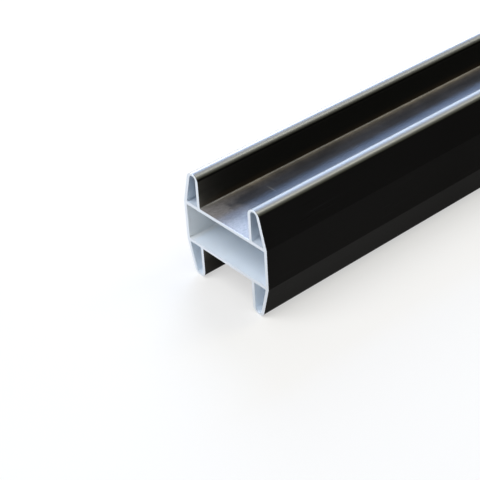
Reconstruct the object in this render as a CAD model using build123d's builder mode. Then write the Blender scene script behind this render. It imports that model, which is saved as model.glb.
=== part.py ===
"""Aluminium extrusion profile: one bar of hollow H section with a panel groove on two sides.

Millimetres, Z up. The bar lies along Y with its web level and rests on the noses of its two
lower legs. The origin is on the floor, below the middle of the bar.
"""

import os
from math import hypot

from build123d import *

# The bar: the sawn length it is sold in
bar_length = 1000.0

# The H from outside: a level web between two flanges, each flange with a leg above and below the web
groove_width = 24.0  # clear width between the flanges, for a panel
groove_depth = 12.0  # from the tips of the legs to the face of the web
web_height = 15.6  # over both walls of the hollow web
flange_depth = 8.0  # from the groove side of a flange to its upright outer facet
facet_height = 14.8  # upright outer facet of a flange, between the two bends
nose_width = 4.8  # across a leg at its tip, before the nose is rounded

# Walls and corners
wall = 1.2  # every wall of the section but the tips of the noses
tip_wall = 0.8  # the tips of the noses
nose_round_share = 0.96  # of nose_width: taken up by the two rounded edges of a nose, a bullet shape
tip_round_share = 0.89  # of the hollow's width behind the tip: taken up by its two rounded corners
groove_root_radius = 0.4  # where the web meets a leg, outside
chamber_corner_radius = 0.4  # corners of the five hollow chambers

# Sizes worked out from these
groove_half = groove_width / 2
half_width = groove_half + flange_depth
web_half = web_height / 2
half_height = web_half + groove_depth
facet_half = facet_height / 2

# The lean of a leg, and the radius that rounds a square and a leaning edge within one width
leg_rise = half_height - facet_half
leg_run = flange_depth - nose_width
leg_slope = hypot(leg_rise, leg_run)
lean_share = leg_run / leg_rise
radius_share = leg_rise / (leg_rise + leg_slope - leg_run)
nose_radius = nose_width * nose_round_share * radius_share

# The hollow of a leg: its outer side runs one wall inside the leaning side of the leg
level_wall = wall * leg_slope / leg_rise
hollow_side = groove_half + wall
hollow_tip = half_height - tip_wall
hollow_bend = half_width - level_wall
hollow_foot_x = hollow_bend - lean_share * (web_half - facet_half)
hollow_tip_x = hollow_bend - lean_share * (hollow_tip - facet_half)
tip_radius = (hollow_tip_x - hollow_side) * tip_round_share * radius_share

section_plane = Plane(origin=(0, 0, half_height), x_dir=(1, 0, 0), z_dir=(0, -1, 0))

with BuildPart() as h_profile:
    with BuildSketch(section_plane) as section:
        # Outline: a quarter, from the top of the web round one leg to the side, then mirrored twice
        with BuildLine() as outline:
            Polyline(
                (0, web_half),
                (groove_half, web_half),
                (groove_half, half_height),
                (groove_half + nose_width, half_height),
                (half_width, facet_half),
                (half_width, 0),
            )
            mirror(about=Plane.YZ)
            mirror(about=Plane.XZ)
        make_face()
        nose_edges = section.vertices().filter_by(lambda v: abs(v.Y) > web_half + wall)
        fillet(nose_edges, radius=nose_radius)
        at_web = section.vertices().filter_by(lambda v: abs(v.Y) < web_half + wall)
        groove_roots = at_web.filter_by(lambda v: abs(v.X) < groove_half + wall)
        fillet(groove_roots, radius=groove_root_radius)

        # Chamber of the web
        RectangleRounded(
            2 * (half_width - wall),
            2 * (web_half - wall),
            radius=chamber_corner_radius,
            mode=Mode.SUBTRACT,
        )

        # Chambers of the four legs: one is drawn, then mirrored twice
        with BuildSketch(mode=Mode.PRIVATE) as leg_hollow:
            with BuildLine():
                Polyline(
                    (hollow_side, web_half),
                    (hollow_side, hollow_tip),
                    (hollow_tip_x, hollow_tip),
                    (hollow_foot_x, web_half),
                    close=True,
                )
            make_face()
            fillet(leg_hollow.vertices().group_by(Axis.Y)[-1], radius=tip_radius)
            fillet(leg_hollow.vertices().group_by(Axis.Y)[0], radius=chamber_corner_radius)
            mirror(about=Plane.YZ)
            mirror(about=Plane.XZ)
        add(leg_hollow.faces(), mode=Mode.SUBTRACT)
    extrude(amount=bar_length / 2, both=True)

h_profile.part.label = "h_profile"

os.makedirs("parts", exist_ok=True)
export_step(h_profile.part, "parts/h_profile.step")
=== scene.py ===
# %% [markdown]
# # A black H-profile in extruded aluminium
# The real object is one straight bar, pressed through a die as a hollow H and coated black before it was
# sawn to length. The shape is finished already: it comes packed from the CAD model, in metres, lying on the
# floor. What is left for Blender is the skin of the metal, the light and the camera, so this lesson adds no
# new piece. It lays four finishes on the faces of the bar: a coat on the sides and noses, a smoother coat on
# the floors of the grooves, sawn metal on the ends, and bare metal in the chambers.

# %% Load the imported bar
import math
import bpy
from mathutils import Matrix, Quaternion, Vector


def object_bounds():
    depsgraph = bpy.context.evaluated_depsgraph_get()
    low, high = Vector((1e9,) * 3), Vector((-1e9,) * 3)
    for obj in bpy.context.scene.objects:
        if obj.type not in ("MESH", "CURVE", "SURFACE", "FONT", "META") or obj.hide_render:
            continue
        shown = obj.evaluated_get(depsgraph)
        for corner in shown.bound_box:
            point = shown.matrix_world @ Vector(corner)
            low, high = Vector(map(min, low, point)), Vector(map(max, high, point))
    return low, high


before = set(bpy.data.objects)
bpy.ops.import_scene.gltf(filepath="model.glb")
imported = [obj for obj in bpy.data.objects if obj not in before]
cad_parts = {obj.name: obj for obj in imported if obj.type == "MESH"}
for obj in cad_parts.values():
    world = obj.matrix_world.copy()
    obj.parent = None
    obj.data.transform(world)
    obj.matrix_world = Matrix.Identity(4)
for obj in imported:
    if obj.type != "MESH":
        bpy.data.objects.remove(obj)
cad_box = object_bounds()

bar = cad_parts["h_profile"]
low, high = cad_box
bar_half_length = high[1]
bar_height = high[2]
print("bar", [round(1000 * (b - a), 1) for a, b in zip(low, high)], "mm")

# %% [markdown]
# ## The camera
# The bar is looked at from above its near end, so that the sawn section and two long sides show and the far
# part runs out of the picture. A camera can be set by eye, but here the straight edges of the section were
# used to work out one lens and one place. The camera is told what to look at and from where, and is then
# turned a little about its own line of sight, because the picture was taken with the camera tilted.

# %% Set the camera
lens_mm, sensor_mm = 91.365, 36.0
nearest_seen = 0.01
aim = Vector((0.00137, -0.49511, bar_height / 2))
line_of_sight = Vector((-0.6415, 0.50957, -0.57343)).normalized()
viewing_distance = 0.38568
tilt_of_camera = math.radians(-3.781)

camera = bpy.data.objects.new("camera", bpy.data.cameras.new("camera"))
bpy.context.scene.collection.objects.link(camera)
camera.data.lens, camera.data.sensor_width = lens_mm, sensor_mm
camera.data.clip_start = nearest_seen
camera.location = aim - viewing_distance * line_of_sight
camera.rotation_mode = "QUATERNION"
camera.rotation_quaternion = line_of_sight.to_track_quat("-Z", "Y") @ Quaternion((0, 0, 1), tilt_of_camera)
bpy.context.scene.camera = camera
print("camera at", [round(c, 4) for c in camera.location])

# %% [markdown]
# ## Which face has which skin
# The coat covers only what the spray could reach: the outside and both grooves. The five chambers kept the
# bright skin that the die left, and the two ends are bare where the saw cut. The faces could be picked by
# hand, but the section tells them apart by itself. Seen from the end, the long faces follow closed rings:
# one ring round the outside, and one round each chamber. So it is enough to walk along the rings.

# %% Note which stops on the section the long faces join
skin = bar.data
facing_along_bar = 0.9
steps_per_metre = 1e6


def is_sawn(face):
    return abs(face.normal.y) > facing_along_bar


def stop_on_section(index):
    """A corner's place on the section, in whole steps, so that equal places compare as equal."""
    point = skin.vertices[index].co
    return round(point.x * steps_per_metre), round(point.z * steps_per_metre)


next_stops = {}
for face in skin.polygons:
    if not is_sawn(face):
        stops = {stop_on_section(i) for i in face.vertices}
        for stop in stops:
            next_stops.setdefault(stop, set()).update(stops)
print("stops on the section:", len(next_stops))

# %% Walk along the rings
rings, unseen = [], set(next_stops)
while unseen:
    walk, ring = [unseen.pop()], set()
    while walk:
        stop = walk.pop()
        ring.add(stop)
        fresh = next_stops[stop] & unseen
        unseen -= fresh
        walk += fresh
    rings.append(ring)

outside_ring = max(rings, key=lambda ring: max(x for x, z in ring) - min(x for x, z in ring))
print("rings in the section:", len(rings), "stops in each:", sorted(len(ring) for ring in rings))

# %% [markdown]
# ## Small helpers for the finishes
# Each finish is a tree of nodes. Nodes can be joined by hand in the shader editor, but in a script a few
# short helpers keep the trees readable. One starts a finish, one adds a node with its settings, and the
# others do the sums and give the patterns that all the finishes share. A die leaves lines along the bar, so
# the patterns take the place on the bar in metres and are squeezed or stretched along it.

# %% Start a finish and add a node to it
def start_finish(name):
    finish = bpy.data.materials.new(name)
    finish.use_nodes = True
    return finish, finish.node_tree, finish.node_tree.nodes["Principled BSDF"]


def add(tree, kind, inputs=None, **settings):
    """A new node. An input is either a value, or the output of another node, which is linked."""
    node = tree.nodes.new(kind)
    for name, value in settings.items():
        setattr(node, name, value)
    for name, value in (inputs or {}).items():
        if isinstance(value, bpy.types.NodeSocket):
            tree.links.new(value, node.inputs[name])
        else:
            node.inputs[name].default_value = value
    return node


print("materials that came with the bar:", [slot.name for slot in skin.materials if slot])

# %% Sums and ranges
def reckon(tree, operation, first, second):
    return add(tree, "ShaderNodeMath", {0: first, 1: second}, operation=operation).outputs["Value"]


def plus(tree, first, second):
    return reckon(tree, "ADD", first, second)


def times(tree, first, second):
    return reckon(tree, "MULTIPLY", first, second)


def spread(tree, value, found, wanted):
    """The range of values that is found, stretched over the one that is wanted and held at its ends."""
    limits = {"From Min": found[0], "From Max": found[1], "To Min": wanted[0], "To Max": wanted[1]}
    return add(tree, "ShaderNodeMapRange", {"Value": value, **limits}).outputs["Result"]


fade_in, fade_out = (0.0, 1.0), (1.0, 0.0)
usual_noise = (0.3, 0.7)
print("most of a noise lies between", usual_noise[0], "and", usual_noise[1])

# %% Mixed colours
def tint(tree, amount, first, second):
    """The first colour where the amount is nothing, the second where it is one."""
    mixed = add(tree, "ShaderNodeMix", data_type="RGBA")
    tree.links.new(amount, mixed.inputs["Factor"])
    for name, colour in (("A", first), ("B", second)):
        socket = [s for s in mixed.inputs if s.name == name and s.type == "RGBA"][0]
        if isinstance(colour, bpy.types.NodeSocket):
            tree.links.new(colour, socket)
        else:
            socket.default_value = (*colour, 1.0)
    return [s for s in mixed.outputs if s.type == "RGBA"][0]


print("colours are mixed by", tint.__name__)

# %% Patterns on the bar
def place_on_bar(tree):
    return add(tree, "ShaderNodeTexCoord").outputs["Object"]


def cloud(tree, across, along, detail=2.0, roughness=0.5):
    """A soft pattern with so many features per metre across the bar and along it."""
    squeezed = add(tree, "ShaderNodeMapping", {"Vector": place_on_bar(tree), "Scale": (across, along, across)})
    grain = {"Scale": 1.0, "Detail": detail, "Roughness": roughness}
    return add(tree, "ShaderNodeTexNoise", {"Vector": squeezed.outputs["Vector"], **grain}).outputs["Fac"]


def ripple(tree, shader, height, strength, depth):
    """Fine relief, which bends the light on the surface and leaves the shape as it is."""
    bump = add(tree, "ShaderNodeBump", {"Strength": strength, "Distance": depth, "Height": height})
    tree.links.new(bump.outputs["Normal"], shader.inputs["Normal"])


print("patterns and relief are made by", cloud.__name__, "and", ripple.__name__)

# %% [markdown]
# ## The black coat
# The coat is a thin, even, half-gloss black. Most of what shows on it is reflection, so its colour stays
# close to black. The die's lines show through the coat as faint streaks along the bar, and a little haze and
# a few rubbed streaks break up the gloss. It could be painted as a picture, but a pattern of noise stays
# sharp however near the camera comes. The coat is written as a function, because it is laid twice. On the
# upright sides it is thin and mirrors little, which a low index of refraction gives. On the floors of the
# grooves it flowed out level before it set, so that it mirrors as strongly as any lacquer.

# %% A coat with streaks, haze and rubbed marks
coat_black, coat_hazed, rubbed_grey = (0.0042, 0.0038, 0.0034), (0.0061, 0.0056, 0.0051), (0.016, 0.016, 0.016)
mean_roughness, streak_swing, haze_swing = 0.295, 0.025, (-0.015, 0.025)
rubbed_noise, rubbed_most, rubbed_roughness = (0.66, 0.80), 0.5, 0.12
fine_share, coat_strength, coat_depth = 0.25, 0.35, 0.000012


def lay_coat(name, refraction, line_share):
    finish, tree, shader = start_finish(name)
    shader.inputs["IOR"].default_value = refraction
    die_lines = cloud(tree, across=1300, along=3, detail=3.0)
    fine_lines = cloud(tree, across=5200, along=8)
    haze = cloud(tree, across=60, along=22, detail=3.0)
    rubbed = spread(tree, cloud(tree, across=700, along=26), rubbed_noise, (0.0, rubbed_most * line_share))
    colour = tint(tree, rubbed, tint(tree, haze, coat_black, coat_hazed), rubbed_grey)
    swing = streak_swing * line_share
    streaks = spread(tree, die_lines, usual_noise, (mean_roughness - swing, mean_roughness + swing))
    gloss = plus(tree, streaks, spread(tree, haze, usual_noise, haze_swing))
    gloss = plus(tree, gloss, times(tree, rubbed, rubbed_roughness))
    relief = plus(tree, die_lines, times(tree, fine_lines, fine_share))
    ripple(tree, shader, relief, coat_strength * line_share, coat_depth)
    return finish, tree, shader, colour, gloss


print("a coat has a mean roughness of", mean_roughness)

# %% Lay the coat twice
thin_refraction, level_refraction = 1.095, 1.68
lines_on_sides, lines_in_grooves = 1.0, 0.25
cool_sheen = (0.85, 0.93, 1.0, 1.0)
black_coat, coat_tree, coat, coat_colour, coat_gloss = lay_coat("black_coat", thin_refraction, lines_on_sides)
groove_coat, groove_tree, groove, groove_colour, groove_gloss = lay_coat(
    "groove_coat", level_refraction, lines_in_grooves)
groove.inputs["Specular Tint"].default_value = cool_sheen
print("nodes in each coat so far:", len(coat_tree.nodes), len(groove_tree.nodes))

# %% [markdown]
# ## Burnished noses
# The bar has lain in a stack, and its noses rubbed against the next bars. There the coat is burnished and
# mirrors more, and where it is only half worn it has a brownish tone. The outer shoulder of the left nose is
# painted brighter still, a painted highlight for the light it catches, and the right nose is burnished a little
# less far down. This could be a material of its own, but then it would end in a hard line. A little metal
# mixed in by height above the web fades out instead, as rubbing does.

# %% Measure heights and widths on the section
def size_of(tree, value):
    return add(tree, "ShaderNodeMath", {0: value}, operation="ABSOLUTE").outputs["Value"]


def above_the_web(tree):
    """The height in metres above the middle of the web, below it less than nothing."""
    up = add(tree, "ShaderNodeSeparateXYZ", {"Vector": place_on_bar(tree)}).outputs["Z"]
    return reckon(tree, "SUBTRACT", up, bar_height / 2)


def from_the_web(tree):
    """The distance in metres up or down from the middle of the web."""
    return size_of(tree, above_the_web(tree))


def across_the_bar(tree):
    """The distance in metres to the right of the middle of the bar, to the left less than nothing."""
    return add(tree, "ShaderNodeSeparateXYZ", {"Vector": place_on_bar(tree)}).outputs["X"]


print("the middle of the web is", round(500 * bar_height, 1), "mm above the floor")

# %% How far down the noses are worn
burnish_starts, burnish_full = 0.0183, 0.0192
left_shoulder, right_shoulder = (-0.0148, -0.0144), (0.0143, 0.0147)
less_on_the_right = (0.0, 0.00014)

nose_side = across_the_bar(coat_tree)
on_the_right = spread(coat_tree, nose_side, right_shoulder, less_on_the_right)
nose_height = reckon(coat_tree, "SUBTRACT", from_the_web(coat_tree), on_the_right)
burnish = spread(coat_tree, nose_height, (burnish_starts, burnish_full), fade_in)
# painted highlight: the outer shoulder of the left nose is picked out to be painted brighter
highlight_on_the_left = spread(coat_tree, nose_side, left_shoulder, fade_out)
print("the outermost", round(1000 * (bar_height / 2 - burnish_starts), 1), "mm of each nose is burnished")

# %% Burnish the noses
# the last colour is a painted highlight for the outer shoulder of the left nose
half_worn, burnished_black, painted_highlight_colour = (0.150, 0.147, 0.096), (0.147, 0.149, 0.147), (0.28, 0.25, 0.215)
burnish_roughness, burnish_metal = 0.06, 0.8

worn_colour = tint(coat_tree, burnish, half_worn, burnished_black)
worn_colour = tint(coat_tree, highlight_on_the_left, worn_colour, painted_highlight_colour)
coat_colour = tint(coat_tree, burnish, coat_colour, worn_colour)
coat_gloss = plus(coat_tree, coat_gloss, times(coat_tree, burnish, burnish_roughness))
coat_metal = times(coat_tree, burnish, burnish_metal)
print("black coat nodes with the burnish:", len(coat_tree.nodes))

# %% [markdown]
# ## Dust in the groove
# Fine dust has settled on the floor of the upper groove, thicker and browner towards its two roots, where
# nothing wipes it out. Dust could be scattered as grains, but it is far too fine for that. So a wide pattern
# gives its patches and a fine one its grains, both limited to the side that faces up, and the distance from
# the middle of the groove says where it turns brown.

# %% Measure across the groove
groove_half = 0.012


def from_the_middle(tree):
    """The distance in metres sideways from the middle of the groove."""
    return size_of(tree, across_the_bar(tree))


print("groove", round(2000 * groove_half, 1), "mm wide")

# %% Thickness of the dust
patch_thickness = (0.35, 1.0)
grain_noise, grain_thickness = (0.35, 0.65), (0.70, 1.20)
turning_up = (0.0, 0.001)


def dust_patches(tree):
    wide_cloud = cloud(tree, across=160, along=70, detail=4.0, roughness=0.6)
    return spread(tree, wide_cloud, usual_noise, patch_thickness)


upper_side = spread(groove_tree, above_the_web(groove_tree), turning_up, fade_in)
fine_cloud = cloud(groove_tree, across=1500, along=900, detail=4.0, roughness=0.65)
grains = spread(groove_tree, fine_cloud, grain_noise, grain_thickness)
dust = times(groove_tree, times(groove_tree, dust_patches(groove_tree), upper_side), grains)
print("dust hides", patch_thickness[0], "to", patch_thickness[1], "of the coat, before its grains are counted")

# %% Dust on the groove floor
dust_grey, dust_brown = (0.045, 0.046, 0.054), (0.310, 0.264, 0.204)
towards_root, brown_towards_root = (groove_half - 0.0045, groove_half - 0.0004), (0.0, 0.40)
within_root, brown_within_root = (groove_half - 0.0019, groove_half - 0.0007), (0.0, 0.65)

sideways = from_the_middle(groove_tree)
near_root = spread(groove_tree, sideways, towards_root, brown_towards_root)
in_root = spread(groove_tree, sideways, within_root, brown_within_root)
brown_dust = times(groove_tree, dust, plus(groove_tree, near_root, in_root))
groove_colour = tint(groove_tree, dust, groove_colour, dust_grey)
groove_colour = tint(groove_tree, brown_dust, groove_colour, dust_brown)
print("groove coat nodes with the dust:", len(groove_tree.nodes))

# %% [markdown]
# ## The film of the saw, painted light near the cut, and two marks
# The saw left a grey film over the last centimetre or two of the groove floor. Its grey is also painted light:
# lighter than the film alone, for the light that reaches the floor near the cut. It is wiped thin in one
# place, and a little further in the floor has a short scrape. The film could end at a fixed line, but a real
# one reaches further here and less far there, so its reach comes from noise. Each mark is a soft spot at its
# own place on the bar.

# %% The reach of the film
film_shortest, film_longest = 0.010, 0.021


def from_the_end(tree):
    """The distance in metres from the nearer sawn end."""
    along = add(tree, "ShaderNodeSeparateXYZ", {"Vector": place_on_bar(tree)}).outputs["Y"]
    return reckon(tree, "SUBTRACT", bar_half_length, size_of(tree, along))


def saw_film(tree):
    """One at the sawn end, fading to nothing where the film ends."""
    uneven = cloud(tree, across=150, along=110, detail=3.0)
    reach = spread(tree, uneven, usual_noise, (film_shortest, film_longest))
    return spread(tree, reckon(tree, "DIVIDE", from_the_end(tree), reach), fade_in, fade_out)


print("the film reaches", 1000 * film_shortest, "to", 1000 * film_longest, "mm from the cut")

# %% Film and painted light on the groove floor, wiped thin in one place
# saw film and painted light: the grey is lighter, for the light that reaches the groove floor near the cut
film_and_light_grey, wiped_share = (0.238, 0.223, 0.218), 0.38
near_end = -bar_half_length


def spot(tree, across, along, half_across, half_along):
    """A soft round or long mark on the bar: one in its middle, nothing at its edge."""
    shift = (-across / half_across, -along / half_along, 0.0)
    squeeze = (1 / half_across, 1 / half_along, 0.0)
    placed = add(tree, "ShaderNodeMapping", {"Vector": place_on_bar(tree), "Location": shift, "Scale": squeeze})
    from_spot = add(tree, "ShaderNodeVectorMath", {0: placed.outputs["Vector"]}, operation="LENGTH")
    return spread(tree, from_spot.outputs["Value"], fade_in, fade_out)


wiped = spot(groove_tree, across=-0.0064, along=near_end + 0.0082, half_across=0.0042, half_along=0.0016)
thinned = reckon(groove_tree, "SUBTRACT", saw_film(groove_tree), times(groove_tree, wiped, wiped_share))
film_and_light_left = times(groove_tree, reckon(groove_tree, "MAXIMUM", thinned, 0.0), grains)
groove_colour = tint(groove_tree, film_and_light_left, groove_colour, film_and_light_grey)
print("groove coat nodes with the film:", len(groove_tree.nodes))

# %% A scrape on the groove floor
scraped_grey = (0.150, 0.150, 0.152)
scraped = spot(groove_tree, across=-0.0047, along=near_end + 0.0241, half_across=0.0028, half_along=0.0005)
groove_colour = tint(groove_tree, times(groove_tree, scraped, upper_side), groove_colour, scraped_grey)
print("groove coat nodes with the scrape:", len(groove_tree.nodes))

# %% [markdown]
# ## Dust on the walls of the grooves
# The walls hold less dust than the floor: a trace all over, a brown foot above each upper root, and a little
# of the saw's film near the cut, most of it low down. The walls could have a material of their own, but they
# run into the noses without an edge. So they keep the coat of the sides, and a mask picks them out by their
# place: on that coat, only they lie as near to the middle as the groove is wide.

# %% Dust on the groove walls
wall_dust, foot_brown = (0.0245, 0.0234, 0.0206), (0.071, 0.052, 0.032)
wall_ends = (groove_half + 0.00004, groove_half + 0.00010)
over_the_floor, foot_thins = (0.0070, 0.0075), (0.0080, 0.0105)

on_wall = spread(coat_tree, from_the_middle(coat_tree), wall_ends, fade_out)
coat_colour = tint(coat_tree, on_wall, coat_colour, wall_dust)
height = above_the_web(coat_tree)
upper_wall = spread(coat_tree, height, over_the_floor, fade_in)
wall_foot = times(coat_tree, spread(coat_tree, height, foot_thins, fade_out), upper_wall)
wall_foot = times(coat_tree, wall_foot, dust_patches(coat_tree))
coat_colour = tint(coat_tree, times(coat_tree, wall_foot, on_wall), coat_colour, foot_brown)
print("black coat nodes with the dust:", len(coat_tree.nodes))

# %% Film on the groove walls
wall_film = (0.165, 0.155, 0.138)
film_fall = 3.0
film_thins, film_up_the_wall = (0.0082, 0.0135), (1.0, 0.25)

low_on_wall = spread(coat_tree, from_the_web(coat_tree), film_thins, film_up_the_wall)
film_by_cut = times(coat_tree, reckon(coat_tree, "POWER", saw_film(coat_tree), film_fall), on_wall)
coat_colour = tint(coat_tree, times(coat_tree, film_by_cut, low_on_wall), coat_colour, wall_film)
print("black coat nodes with the film:", len(coat_tree.nodes))

# %% [markdown]
# ## Sheen of the sides, fading as painted shade
# The coat of the sides mirrors most near the cuts and less further in, a painted shade for the light on the
# sides that falls off further along the bar. Two materials would meet in a line, so the strength of the
# mirror fades with the distance from the cut instead.

# %% Fade the sheen of the sides, as painted shade
sheen_fades, sheen = (0.010, 0.085), (0.5, 0.22)
# painted shade: the mirror weakens with the distance from the cut
painted_shade_of_sides = spread(coat_tree, from_the_end(coat_tree), sheen_fades, sheen)
coat_tree.links.new(painted_shade_of_sides, coat.inputs["Specular IOR Level"])
print("the sheen fades over the first", round(1000 * sheen_fades[1]), "mm from a cut")

# %% [markdown]
# ## Chips at the cut
# The saw tore the coat back to the metal by a tenth of a millimetre, in small uneven bites. The bites could
# be cut into the mesh, but the coat is thinner than they are wide, and the shape has to stay as it came. So
# on both coats the distance from the sawn end is compared with noise, and where the noise wins, the metal
# shows.

# %% Chips along the cut
chip_reach, chip_edge = 0.00012, (0.6, 0.7)
chip_noise = (0.35, 0.65)
bare_metal = (0.74, 0.78, 0.83)


def chip_the_cut(finish, tree, shader, colour, gloss, metal):
    bite = spread(tree, cloud(tree, across=2600, along=2600), chip_noise, (0.0, chip_reach))
    edge = [share * chip_reach for share in chip_edge]
    chipped = spread(tree, plus(tree, from_the_end(tree), bite), edge, fade_out)
    tree.links.new(tint(tree, chipped, colour, bare_metal), shader.inputs["Base Color"])
    tree.links.new(reckon(tree, "MAXIMUM", metal, chipped), shader.inputs["Metallic"])
    tree.links.new(gloss, shader.inputs["Roughness"])
    print(finish.name, "finished with", len(tree.nodes), "nodes")


chip_the_cut(black_coat, coat_tree, coat, coat_colour, coat_gloss, coat_metal)
chip_the_cut(groove_coat, groove_tree, groove, groove_colour, groove_gloss, 0.0)

# %% [markdown]
# ## The sawn ends
# A circular saw leaves a bright, slightly rough face with shallow arcs, all struck from the blade's centre
# beside the bar. The arcs could be modelled, but they are only hundredths of a millimetre deep, so rings in
# the bump and in the roughness are enough. The rings are bent a little by noise, because a blade trembles.

# %% Arcs of the blade
blade_centre = (0.095, 0.0, 0.105)
tremble = {"Scale": 420.0, "Distortion": 2.5, "Detail": 2.0, "Detail Scale": 0.6}

sawn_metal, saw_tree, saw = start_finish("sawn_metal")
to_blade = tuple(-c for c in blade_centre)
from_blade = add(saw_tree, "ShaderNodeMapping", {"Vector": place_on_bar(saw_tree), "Location": to_blade})
arcs = add(saw_tree, "ShaderNodeTexWave", {"Vector": from_blade.outputs["Vector"], **tremble},
           wave_type="RINGS", rings_direction="Y").outputs["Fac"]
print("the blade's centre is", round(1000 * math.hypot(*blade_centre)), "mm from the bar's origin")

# %% Sawn metal
arcs_share, grain_share = 0.55, 0.45
cut_dark, cut_bright = (0.69, 0.74, 0.80), (0.77, 0.81, 0.86)
cut_range, cut_roughness = (0.2, 0.8), (0.36, 0.48)
cut_strength, cut_depth = 0.4, 0.00002

cut_grain = cloud(saw_tree, across=2200, along=2200, detail=3.0)
cut_shade = plus(saw_tree, times(saw_tree, arcs, arcs_share), times(saw_tree, cut_grain, grain_share))
saw_tree.links.new(tint(saw_tree, cut_shade, cut_dark, cut_bright), saw.inputs["Base Color"])
saw.inputs["Metallic"].default_value = 1.0
saw_tree.links.new(spread(saw_tree, cut_shade, cut_range, cut_roughness), saw.inputs["Roughness"])
ripple(saw_tree, saw, cut_shade, cut_strength, cut_depth)
print(sawn_metal.name, "finished with", len(saw_tree.nodes), "nodes")

# %% [markdown]
# ## The chambers
# Inside, the metal is as the die left it: a soft silver with lines along the bar and a patchy grey film. Up
# the two upper legs the skin is painted darker, a painted shade for the light that reaches less far into them,
# and the left wall of the wide chamber is painted greyer, a painted shade for the weaker light that falls on
# it. Each could be a material of its own, but the changes are soft, so colours are mixed by place instead.
# The film makes the skin more matt than bare metal, so only a quarter of it is metal to the shader. The light
# from the mouth also falls off down the chamber by itself, as it does in the real bar, and the painted shade
# lies on top of that.

# %% Skins of the chambers
lines_share, film_share = 0.5, 0.5
# painted shade: the left wall of the wide chamber takes this greyer pair, for the weaker light that falls on it
painted_grey_pair = (0.83, 0.85, 0.85), (0.91, 0.92, 0.91)
silver_pair = (0.82, 0.89, 0.99), (0.91, 0.97, 1.00)
# painted shade: the darker skin up the upper legs stands in for the light that reaches less far into them
painted_shade_pair = (0.47, 0.54, 0.63), (0.58, 0.65, 0.73)

bare_chamber, chamber_tree, chamber = start_finish("bare_chamber")
drawn_lines = cloud(chamber_tree, across=1700, along=5, detail=3.0)
film = cloud(chamber_tree, across=140, along=60, detail=3.0)
chamber_shade = plus(chamber_tree, times(chamber_tree, drawn_lines, lines_share),
                     times(chamber_tree, film, film_share))
painted_grey_skin = tint(chamber_tree, chamber_shade, *painted_grey_pair)
silver_skin = tint(chamber_tree, chamber_shade, *silver_pair)
painted_shade_skin = tint(chamber_tree, chamber_shade, *painted_shade_pair)
print("bare chamber nodes so far:", len(chamber_tree.nodes))

# %% Where each skin shows
left_wall, out_of_the_web = (-0.0186, -0.0160), (0.0066, 0.0076)
foot_of_leg, shade_at_foot = (0.0072, 0.0078), (0.0, 0.33)
height_of_leg, shade_above = (0.0090, 0.0130), (0.0, 0.67)

# the painted grey shade shows on the left wall, the silver further right
off_the_wall = spread(chamber_tree, across_the_bar(chamber_tree), left_wall, fade_in)
off_the_web = spread(chamber_tree, from_the_web(chamber_tree), out_of_the_web, fade_in)
silver_share = reckon(chamber_tree, "MAXIMUM", off_the_wall, off_the_web)
bright_skin = tint(chamber_tree, silver_share, painted_grey_skin, silver_skin)
leg_height = above_the_web(chamber_tree)
# the painted shade grows with the height up the upper legs
painted_shade_share = plus(chamber_tree, spread(chamber_tree, leg_height, foot_of_leg, shade_at_foot),
                  spread(chamber_tree, leg_height, height_of_leg, shade_above))
chamber_colour = tint(chamber_tree, painted_shade_share, bright_skin, painted_shade_skin)
print("the left wall is grey as far as", 1000 * left_wall[1], "mm from the middle of the bar")

# %% Bare chambers
matt_metal, chamber_roughness = 0.25, (0.40, 0.52)
drawn_strength, drawn_depth = 0.4, 0.00002
chamber_tree.links.new(chamber_colour, chamber.inputs["Base Color"])
chamber.inputs["Metallic"].default_value = matt_metal
chamber_tree.links.new(spread(chamber_tree, chamber_shade, usual_noise, chamber_roughness),
                       chamber.inputs["Roughness"])
ripple(chamber_tree, chamber, drawn_lines, drawn_strength, drawn_depth)
print(bare_chamber.name, "finished with", len(chamber_tree.nodes), "nodes")

# %% [markdown]
# ## Put the finishes on the faces
# The real bar is one piece with four finishes. It could be split into an object for each, but one object may
# carry several materials: each has a slot, and each face says which slot it takes. So the shape stays as it
# came, and only the slot numbers of the faces are written.

# %% Give each face its finish
floor_of_groove = 0.0082
finishes = (black_coat, groove_coat, sawn_metal, bare_chamber)
skin.materials.clear()
for finish in finishes:
    skin.materials.append(finish)


def finish_for(face):
    if is_sawn(face):
        return sawn_metal
    if stop_on_section(face.vertices[0]) not in outside_ring:
        return bare_chamber
    if abs(face.center.z - bar_height / 2) < floor_of_groove and abs(face.center.x) < groove_half:
        return groove_coat
    return black_coat


for face in skin.polygons:
    face.material_index = finishes.index(finish_for(face))
for slot, finish in enumerate(finishes):
    print(finish.name, "on", sum(face.material_index == slot for face in skin.polygons), "faces")

# %% [markdown]
# ## The floor and the white round it
# The bar lies on a plain white floor that runs out of sight. A floor lit only by lamps would turn grey where
# the lamps don't reach, so part of its white is its own: rays that come from the camera or off something shiny
# see a share of it glow at a strength of one. Near the bar the share is a little over a half, and the rest is
# an ordinary pale surface, which keeps the shadow. Far out the share grows to all of it, so that the horizon
# doesn't show.

# %% Lay the floor
floor_reach = 30.0
corners = [(x * floor_reach, y * floor_reach, 0) for x, y in ((-1, -1), (1, -1), (1, 1), (-1, 1))]
floor_sheet = bpy.data.meshes.new("floor")
floor_sheet.from_pydata(corners, [], [(0, 1, 2, 3)])
floor = bpy.data.objects.new("floor", floor_sheet)
bpy.context.scene.collection.objects.link(floor)
print("floor", 2 * floor_reach, "m across")

# %% The floor's own white
white_near, white_far = 0.56, 1.0
whitening = (0.6, 1.4)


def seen_directly(tree):
    """One for rays from the camera, and for those off something shiny or through something clear."""
    rays = add(tree, "ShaderNodeLightPath").outputs
    shiny = reckon(tree, "MAXIMUM", rays["Is Glossy Ray"], rays["Is Transmission Ray"])
    return reckon(tree, "MAXIMUM", rays["Is Camera Ray"], shiny)


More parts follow.
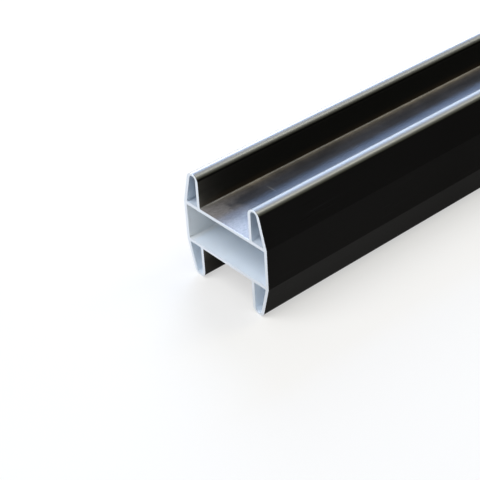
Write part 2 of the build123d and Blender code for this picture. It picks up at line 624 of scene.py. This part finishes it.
white_floor = bpy.data.materials.new("white_floor")
white_floor.use_nodes = True
floor_tree = white_floor.node_tree
floor_tree.nodes.clear()
from_centre = add(floor_tree, "ShaderNodeVectorMath", {0: place_on_bar(floor_tree)}, operation="LENGTH")
own_white = spread(floor_tree, from_centre.outputs["Value"], whitening, (white_near, white_far))
glow_share = times(floor_tree, seen_directly(floor_tree), own_white)
print("the floor's own share of white is", white_near, "near the bar and", white_far, "far out")

# %% Whiten the floor
pale, pure_white = (0.90, 0.87, 0.82, 1.0), (1.0, 1.0, 1.0, 1.0)
matt = add(floor_tree, "ShaderNodeBsdfDiffuse", {"Color": pale}).outputs["BSDF"]
glow = add(floor_tree, "ShaderNodeEmission", {"Color": pure_white, "Strength": 1.0}).outputs["Emission"]
floor_mix = add(floor_tree, "ShaderNodeMixShader", {0: glow_share, 1: matt, 2: glow}).outputs["Shader"]
add(floor_tree, "ShaderNodeOutputMaterial", {"Surface": floor_mix})
floor_sheet.materials.append(white_floor)
print(white_floor.name, "finished with", len(floor_tree.nodes), "nodes")

# %% [markdown]
# ## The light
# Half-gloss black shows little but its lamps, so the lamps are placed by what they should be mirrored in.
# Small lamps would show as spots. These are long strip boxes that hang parallel to the bar, so that a line of
# light runs along it without a break. Cool ones stand on the left, where the groove and the noses mirror
# them. A dim one hangs above, and a warm one beyond it catches the outer shoulders of the noses. A tall box in
# front shines into the chambers. An area lamp is given in watts, but what a mirror shows is its brightness,
# so the helper works the watts out from that.

# %% How a box of light is hung
strip_away, strip_length, strip_middle = 1.2, 1.1, 0.49


def hang_box(name, place, towards, length, across, brightness, colour):
    lamp = bpy.data.lights.new(name, "AREA")
    lamp.shape, lamp.size, lamp.size_y = "RECTANGLE", length, across
    lamp.energy, lamp.color = brightness * math.pi * length * across, colour
    box = bpy.data.objects.new(name, lamp)
    bpy.context.scene.collection.objects.link(box)
    box.location = place
    box.rotation_mode = "QUATERNION"
    box.rotation_quaternion = towards.to_track_quat("-Z", "Y")
    box.visible_camera = False
    print(name, "at", [round(c, 2) for c in place], round(lamp.energy, 1), "watts")


def strip_box(name, low_angle, high_angle, brightness, colour):
    """Seen from the bar, the box fills the view between two angles above the floor on the left."""
    angle = math.radians(low_angle + high_angle) / 2
    across = 2 * strip_away * math.tan(math.radians(high_angle - low_angle) / 2)
    outward = Vector((-math.cos(angle), 0.0, math.sin(angle)))
    place = Vector((0.0, strip_middle, bar_height / 2)) + strip_away * outward
    hang_box(name, place, -outward, strip_length, across, brightness, colour)


print("strip boxes are", strip_length, "m long and hang", strip_away, "m from the bar")

# %% Hang the strip boxes
cool, blue, dim_blue, warm = (0.65, 0.78, 1.0), (0.36, 0.56, 1.0), (0.84, 0.87, 1.0), (0.97, 0.95, 0.76)
strip_box("low_window", low_angle=4, high_angle=27, brightness=6.5, colour=cool)
strip_box("cool_window", low_angle=28, high_angle=46, brightness=6.9, colour=cool)
strip_box("blue_window", low_angle=47, high_angle=56, brightness=10.0, colour=blue)
strip_box("dim_sheet", low_angle=58, high_angle=92, brightness=2.12, colour=dim_blue)
strip_box("warm_strip", low_angle=97, high_angle=115, brightness=4.8, colour=warm)

# %% Hang the front box
front_way, front_away = Vector((-0.14, -0.47, 0.87)).normalized(), 1.5
neutral = (0.92, 0.95, 1.0)
sawn_end = Vector((0.0, -bar_half_length, bar_height / 2))
hang_box("front_box", sawn_end + front_away * front_way, -front_way,
         length=1.0, across=1.2, brightness=5.2, colour=neutral)

# %% [markdown]
# ## The room round the bar
# A studio has pale walls that send a little light back from all sides. They could be built, but a world that
# is dim as a light and white to look at does the same. The view is set to Standard, so that a colour comes
# out as it was written.

# %% Fill the world
fill_colour, fill_strength = (0.95, 0.98, 1.0, 1.0), 0.05
world = bpy.data.worlds.new("studio")
bpy.context.scene.world = world
world.use_nodes = True
world_tree = world.node_tree
world_tree.nodes.clear()
fill = add(world_tree, "ShaderNodeBackground", {"Color": fill_colour, "Strength": fill_strength})
white = add(world_tree, "ShaderNodeBackground", {"Color": pure_white, "Strength": 1.0})
world_mix = add(world_tree, "ShaderNodeMixShader", {0: seen_directly(world_tree), 1: fill.outputs["Background"],
                                                    2: white.outputs["Background"]})
add(world_tree, "ShaderNodeOutputWorld", {"Surface": world_mix.outputs["Shader"]})
bpy.context.scene.view_settings.view_transform = "Standard"
print("the world gives light at", fill_strength, "and is seen as white")
